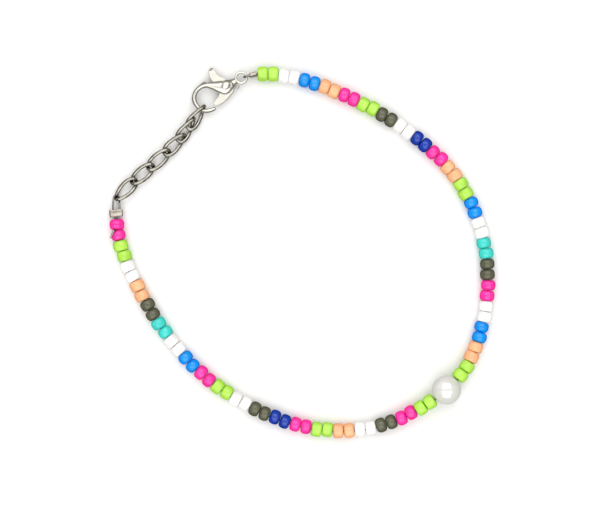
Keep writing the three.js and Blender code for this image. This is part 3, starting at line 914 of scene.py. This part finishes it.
# The upper half of the section, from the outer edge, which is bevelled, to the inner one.
CLASP_SECTION = [
    (1.0, 0.0),
    (1.0, 0.14),
    (0.86, 0.38),
    (0.42, 0.93),
    (0.05, 1.0),
    (-0.45, 0.94),
    (-0.86, 0.62),
    (-1.0, 0.24),
    (-1.0, 0.0),
]
NECK_FLATNESS = 0.7
NECK_SHARE = 0.13
TIP_START = 0.975
TIP_ROUND = 0.02
SLOT_START = 2.2
SLOT_END = 6.42
SLOT_THICKNESS = 1.22
SLOT_WIDTH = 20
CHEEK_MIDDLE = (3.55, -0.6, 0)
CHEEK_SIZE = (1.55, 1.2, 1.46)
CHEEK_TILT = 15
CHEEK_TURN = 27
CHEEK_SEGMENTS = 48
CHEEK_RINGS = 28
EYE_OUTER = 2.75
EYE_STEPS = 48
EYE_SIDES = 18
RING_SQUARENESS = 0.62
LUG_MIDDLE = (1.71, 0.91, 0)
LUG_DIAMETER = 0.9
LUG_BORE = 0.4
LUG_STEPS = 28
LUG_SIDES = 14
PIVOT = (3.9, -0.43)
PIVOT_DIAMETER = 0.7
PIVOT_IN_CHEEKS = 0.6
PIVOT_SIDES = 24
SHARP_ANGLE = 42

clasp_metal = metal_material(
    "clasp_metal", (0.66, 0.64, 0.575), (0.60, 0.58, 0.52), 0.25, 0.38, 0.02, 0.5
)
eye = along(0)
seat = along(chain_end)
eye.z = seat.z = CLASP_HEIGHT + origin_shift.z
clasp_forward = (seat - eye).normalized()
clasp_side = Vector((0, 0, 1)).cross(clasp_forward)
clasp_frame = basis(clasp_forward, clasp_side, Vector((0, 0, 1)), eye)


def cast_ring(middle, outer, inner, steps, sides):
    """A ring as thick as the eye, of oval section, round an upright axis."""
    reach = (outer + inner) / 4
    width = (outer - inner) / 4
    outline = []
    for side in range(sides):
        turn = 2 * math.pi * side / sides
        c, s = math.cos(turn), math.sin(turn)
        out = math.copysign(abs(c) ** RING_SQUARENESS, c) * width
        rise = math.copysign(abs(s) ** RING_SQUARENESS, s) * EYE_THICKNESS / 2
        outline.append((reach + out, 0, rise))
    ring = spun(outline, (0, 0, 1), steps)
    bmesh.ops.translate(ring, vec=middle, verts=ring.verts)
    return ring


def add_mesh(whole, part):
    """Adds one bmesh to another and frees it."""
    mesh = bpy.data.meshes.new("part")
    part.to_mesh(mesh)
    part.free()
    whole.from_mesh(mesh)
    bpy.data.meshes.remove(mesh)


def cutting_object(name, shape):
    """A linked object of a bmesh, for joining to the casting or cutting it."""
    mesh = bpy.data.meshes.new(name)
    shape.to_mesh(mesh)
    shape.free()
    made = bpy.data.objects.new(name, mesh)
    bpy.context.collection.objects.link(made)
    return made


lower_section = [(across, -rise) for across, rise in reversed(CLASP_SECTION[1:-1])]
clasp_section = CLASP_SECTION + lower_section
section_spots = smooth_line(clasp_section, CLASP_SIDES, closed=True)
clasp_rings = []
for step in range(CLASP_STEPS + 1):
    share = step / CLASP_STEPS
    x0, y0, x1, y1, height = smooth_point(CLASP_EDGES, share)
    outer, inner = Vector((x0, y0, 0)), Vector((x1, y1, 0))
    middle = (outer + inner) / 2
    across = (outer - inner) / 2
    tip = max(0, share - TIP_START) / (1 - TIP_START)
    shrink = math.sqrt(max(TIP_ROUND, 1 - tip * tip))
    boxy = 1 - NECK_FLATNESS * max(0, 1 - share / NECK_SHARE)
    ring = []
    for spot in section_spots:
        rise = math.copysign(abs(spot.y) ** boxy, spot.y) * height
        ring.append(middle + (across * spot.x + Vector((0, 0, rise))) * shrink)
    clasp_rings.append(ring)
casting = cutting_object("clasp_casting", loft(clasp_rings))
cheek_objects = []
cheek_axis = Matrix.Rotation(math.radians(CHEEK_TURN), 3, "Z") @ Vector((0, 1, 0))
for face in (1, -1):
    cheek = bmesh.new()
    bmesh.ops.create_uvsphere(
        cheek, u_segments=CHEEK_SEGMENTS, v_segments=CHEEK_RINGS, radius=1
    )
    bmesh.ops.scale(cheek, vec=CHEEK_SIZE, verts=cheek.verts)
    tilt = Matrix.Rotation(-math.radians(CHEEK_TILT) * face, 3, cheek_axis)
    bmesh.ops.rotate(cheek, cent=(0, 0, 0), matrix=tilt, verts=cheek.verts)
    bmesh.ops.translate(cheek, vec=CHEEK_MIDDLE, verts=cheek.verts)
    cheek_objects.append(cutting_object("clasp_cheek", cheek))
slot_shape = bmesh.new()
bmesh.ops.create_cube(slot_shape, size=1)
slot_size = (SLOT_END - SLOT_START, SLOT_WIDTH, SLOT_THICKNESS)
bmesh.ops.scale(slot_shape, vec=slot_size, verts=slot_shape.verts)
slot_middle = ((SLOT_START + SLOT_END) / 2, 0, 0)
bmesh.ops.translate(slot_shape, vec=slot_middle, verts=slot_shape.verts)
slot_object = cutting_object("clasp_slot", slot_shape)
cuts = [(cheek, "UNION") for cheek in cheek_objects] + [(slot_object, "DIFFERENCE")]
for helper, operation in cuts:
    cut = casting.modifiers.new(helper.name, "BOOLEAN")
    cut.operation = operation
    cut.solver = "EXACT"
    cut.object = helper
bpy.context.view_layer.update()
cut_mesh = bpy.data.meshes.new_from_object(
    casting.evaluated_get(bpy.context.evaluated_depsgraph_get())
)
clasp = bmesh.new()
clasp.from_mesh(cut_mesh)
for helper in (casting, slot_object, *cheek_objects):
    mesh = helper.data
    bpy.data.objects.remove(helper)
    bpy.data.meshes.remove(mesh)
bpy.data.meshes.remove(cut_mesh)
add_mesh(clasp, cast_ring((0, 0, 0), EYE_OUTER, EYE_INNER, EYE_STEPS, EYE_SIDES))
add_mesh(clasp, cast_ring(LUG_MIDDLE, LUG_DIAMETER, LUG_BORE, LUG_STEPS, LUG_SIDES))
pin = bmesh.new()
bmesh.ops.create_cone(
    pin,
    cap_ends=True,
    segments=PIVOT_SIDES,
    radius1=PIVOT_DIAMETER / 2,
    radius2=PIVOT_DIAMETER / 2,
    depth=SLOT_THICKNESS + PIVOT_IN_CHEEKS,
)
bmesh.ops.translate(pin, vec=(*PIVOT, 0), verts=pin.verts)
add_mesh(clasp, pin)
bmesh.ops.transform(clasp, matrix=clasp_frame, verts=clasp.verts)
clasp_piece = finished_piece("clasp_claw", clasp, clasp_metal)
clasp_piece.data.set_sharp_from_angle(angle=math.radians(SHARP_ANGLE))
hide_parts("clasp_body")

# Clasp lever
# One flat casting that turns on the pin in the slot: the gate that closes the hook, the hub,
# and the thumb tab with its thickened end.
LEVER_LINE = [
    (7.97, 0.75),
    (7.75, 1.20),
    (7.49, 1.61),
    (5.99, 1.80),
    (4.17, 1.61),
    (2.84, 1.07),
    (2.46, -0.43),
    (2.84, -1.93),
    (3.51, -3.21),
    (3.48, -4.71),
    (3.69, -5.21),
    (4.28, -5.35),
    (4.92, -4.60),
    (5.24, -3.53),
    (5.35, -1.71),
    (5.72, -0.05),
]
LEVER_CORNERS = 120
LEVER_THICKNESS = 0.9
LEVER_ROUND = 0.14
LEVER_ROUND_SEGMENTS = 4
LEVER_INSET = 0.02
PAD_MIDDLE = (3.98, -5.14, 0)
PAD_SIZE = (0.48, 0.32, 0.85)
PAD_SEGMENTS = 28
PAD_RINGS = 16

lever = bmesh.new()
lever_corners = [
    lever.verts.new((spot.x, spot.y, -LEVER_THICKNESS / 2))
    for spot in smooth_line(LEVER_LINE, LEVER_CORNERS, closed=True)
]
lever_face = lever.faces.new(lever_corners)
raised = bmesh.ops.extrude_face_region(lever, geom=[lever_face])
raised_corners = [item for item in raised["geom"] if isinstance(item, bmesh.types.BMVert)]
bmesh.ops.translate(lever, vec=(0, 0, LEVER_THICKNESS), verts=raised_corners)
rims = [edge for edge in lever.edges if edge.verts[0].co.z == edge.verts[1].co.z]
bmesh.ops.bevel(
    lever,
    geom=rims,
    offset=LEVER_ROUND,
    segments=LEVER_ROUND_SEGMENTS,
    profile=0.5,
    affect="EDGES",
    material=-1,
    clamp_overlap=True,
)
wide_faces = [face for face in lever.faces if len(face.verts) > 4]
bmesh.ops.inset_individual(lever, faces=wide_faces, thickness=LEVER_INSET)
pad = bmesh.new()
bmesh.ops.create_uvsphere(pad, u_segments=PAD_SEGMENTS, v_segments=PAD_RINGS, radius=1)
bmesh.ops.scale(pad, vec=PAD_SIZE, verts=pad.verts)
bmesh.ops.translate(pad, vec=PAD_MIDDLE, verts=pad.verts)
add_mesh(lever, pad)
bmesh.ops.recalc_face_normals(lever, faces=lever.faces)
bmesh.ops.transform(lever, matrix=clasp_frame, verts=lever.verts)
lever_piece = finished_piece("clasp_gate", lever, clasp_metal, "lever")
lever_piece.data.set_sharp_from_angle(angle=math.radians(SHARP_ANGLE))
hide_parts("clasp_lever")

# Floor and lights
# A plain white table, which is left out of reflections so that the metal's sides stay dark, and
# two wide soft lamps overhead with a narrow dark gap between them. A weak lamp on the left
# fills that side.
FLOOR_SIZE = 6.0

# Each lamp: where it is, where it aims, its width and depth, all in metres, and its watts.
LAMPS = {
    "lamp_upper": ((0, 0.435, 0.5), (0, 0.435, 0), (0.84, 0.72), 3.9),
    "lamp_lower": ((0, -0.495, 0.5), (0, -0.495, 0), (0.84, 0.89), 4.8),
    "lamp_left": ((-0.7, 0.7, 0.3), (0, 0, 0.1), (1.1, 0.6), 1.0),
}

floor_mesh = bmesh.new()
bmesh.ops.create_grid(floor_mesh, x_segments=1, y_segments=1, size=FLOOR_SIZE / 2)
floor_data = bpy.data.meshes.new("floor")
floor_mesh.to_mesh(floor_data)
floor_mesh.free()
floor = bpy.data.objects.new("floor", floor_data)
bpy.context.collection.objects.link(floor)
floor_paint = bpy.data.materials.new("floor_paint")
floor_paint.use_nodes = True
floor_shader = floor_paint.node_tree.nodes["Principled BSDF"]
floor_shader.inputs["Base Color"].default_value = (0.85, 0.85, 0.845, 1)
floor_shader.inputs["Roughness"].default_value = 0.9
floor_data.materials.append(floor_paint)
floor.visible_glossy = False

for lamp_name, (spot, aim, size, power) in LAMPS.items():
    lamp_data = bpy.data.lights.new(lamp_name, "AREA")
    lamp_data.shape = "RECTANGLE"
    lamp_data.size, lamp_data.size_y = size
    lamp_data.energy = power
    lamp = bpy.data.objects.new(lamp_name, lamp_data)
    lamp.location = spot
    direction = Vector(aim) - Vector(spot)
    lamp.rotation_euler = direction.to_track_quat("-Z", "Y").to_euler()
    bpy.context.collection.objects.link(lamp)

world = bpy.data.worlds.new("room")
bpy.context.scene.world = world
world.use_nodes = True
world.node_tree.nodes["Background"].inputs["Color"].default_value = (0.52, 0.51, 0.485, 1)
world.node_tree.nodes["Background"].inputs["Strength"].default_value = 0.6
bpy.context.scene.view_settings.view_transform = "Standard"

bpy.context.view_layer.update()
